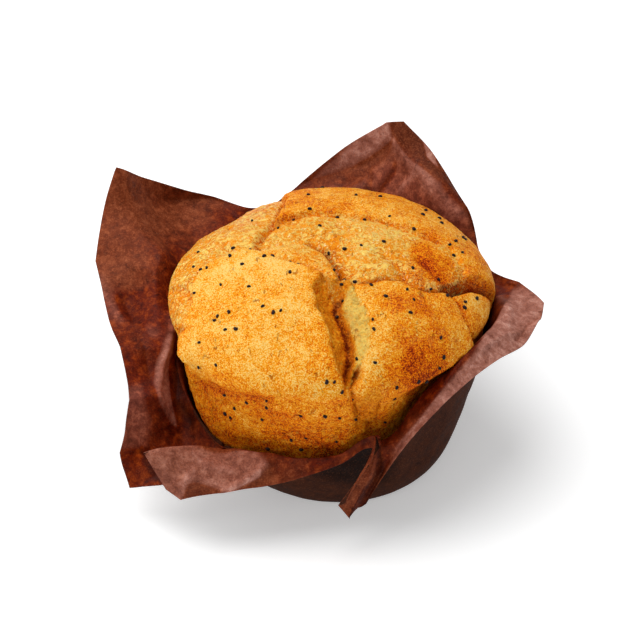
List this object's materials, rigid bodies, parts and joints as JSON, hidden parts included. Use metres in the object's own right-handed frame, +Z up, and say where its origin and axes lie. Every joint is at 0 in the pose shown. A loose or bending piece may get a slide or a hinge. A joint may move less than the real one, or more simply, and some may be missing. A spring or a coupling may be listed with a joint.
{
  "type": "muffin in a paper case",
  "caption": "Poppy-seed muffin with a domed, split crown, standing upright in a brown tulip-shaped greaseproof paper baking case.",
  "frame": {"origin": "centre of the baking case's flat underside, on the surface it stands on", "axes": "+Z up through the crown, +Y away from the front, +X to the right as seen from the front, where the widest crack in the crown and the narrow folded beak of paper are"},
  "size_m": [0.1076, 0.098, 0.0592],
  "materials": {
    "crust": "matte baked crust, golden yellow to orange-brown",
    "greaseproof_paper": "brown greaseproof paper with a faint waxy sheen"
  },
  "bodies": {
    "root": {"muffin": "crust", "baking_case": "greaseproof_paper"}
  },
  "joints": []
}
